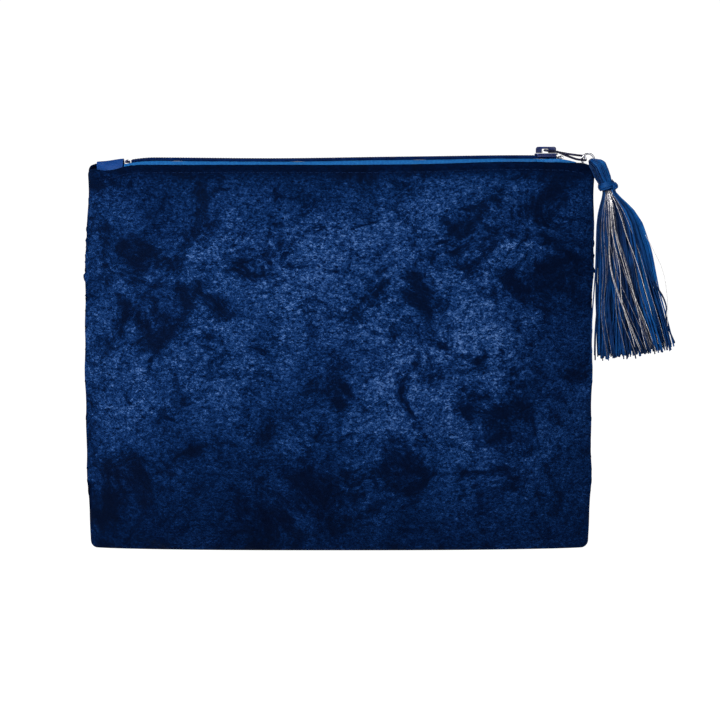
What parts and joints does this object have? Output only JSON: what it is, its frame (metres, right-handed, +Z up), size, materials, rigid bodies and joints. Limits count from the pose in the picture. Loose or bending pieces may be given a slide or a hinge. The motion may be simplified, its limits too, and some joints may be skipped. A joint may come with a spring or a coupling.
{
  "type": "zippered pouch",
  "caption": "Flat lined velvet pouch standing on its base, with a nylon coil zip along the top edge and a yarn tassel on the zip pull.",
  "frame": {"origin": "on the flat underside, in the middle of the pouch's width and depth", "axes": "+X to the right along the zip towards its slider when closed, -Y the front, +Z up"},
  "size_m": [0.2821, 0.0334, 0.1924],
  "materials": {
    "velvet": "navy crushed velvet with a dense soft pile",
    "satin": "smooth dark blue cloth",
    "lining": "thin plain-woven polyester",
    "tape": "woven polyester zip tape",
    "coil": "navy nylon coil",
    "thread": "navy sewing thread",
    "slider_paint": "gloss navy paint on zinc",
    "nickel": "bright nickel plate",
    "wire": "dark nickel plate",
    "yarn": "blue rayon yarn with a silky gloss",
    "metallic_thread": "silver metallic thread"
  },
  "bodies": {
    "pouch": {"back_panel": "velvet", "back_lining": "lining", "back_zip_tape": "tape", "back_coil": "coil", "back_topstitch": "thread", "front_top_stop": "nickel", "back_top_stop": "nickel", "bottom_stop": "nickel", "left_end_tab": "satin", "left_side_seam_thread": "thread", "right_side_seam_thread": "thread"},
    "front_half": {"front_panel": "velvet", "front_lining": "lining", "front_zip_tape": "tape", "front_coil": "coil", "front_topstitch": "thread", "bottom_seam_thread": "thread"},
    "slider": {"slider_body": "slider_paint", "slider_crown": "slider_paint", "slider_lock_spring": "nickel"},
    "pull": {"pull_loop": "wire"},
    "ring": {"jump_ring": "nickel"},
    "tassel": {"tassel_head": "yarn", "tassel_binding": "yarn", "tassel_knot": "yarn"},
    "skirt": {"tassel_skirt": "yarn", "tassel_metallic_threads": "metallic_thread"}
  },
  "joints": [
    {"name": "slider_travel", "type": "slide", "parent": "pouch", "child": "slider", "axis": [-1, 0, -0.0035], "range_m": [0, 0.1924], "deforming": ["front_coil", "back_coil", "front_zip_tape", "back_zip_tape", "tassel_head", "tassel_binding", "tassel_knot", "tassel_skirt", "tassel_metallic_threads"]},
    {"name": "front_mouth", "type": "hinge", "parent": "pouch", "child": "front_half", "pos_m": [0, -0.01, 0.0005], "axis": [1, 0, 0], "range_deg": [0, 10]},
    {"name": "pull_flip", "type": "hinge", "parent": "slider", "child": "pull", "pos_m": [0.0989, 0, 0.1907], "axis": [0, -1, 0], "range_deg": [0, 110]},
    {"name": "ring_swing", "type": "hinge", "parent": "pull", "child": "ring", "pos_m": [0.11805, -0.002, 0.18625], "axis": [0, -1, 0], "range_deg": [-110, 0]},
    {"name": "tassel_sway", "type": "hinge", "parent": "ring", "child": "tassel", "pos_m": [0.12138, -0.002, 0.18437], "axis": [-1, 0, 0], "range_deg": [0, 20]},
    {"name": "skirt_swing", "type": "hinge", "parent": "tassel", "child": "skirt", "pos_m": [0.1288, -0.0026, 0.1718], "axis": [0, -1, 0], "range_deg": [0, 50]}
  ],
  "couplings": [
    {"joint": "front_mouth", "follows": "slider_travel", "rad_per_m": 0.907},
    {"joint": "ring_swing", "follows": "pull_flip", "ratio": -1},
    {"joint": "tassel_sway", "follows": "pull_flip", "ratio": 0.1818}
  ]
}
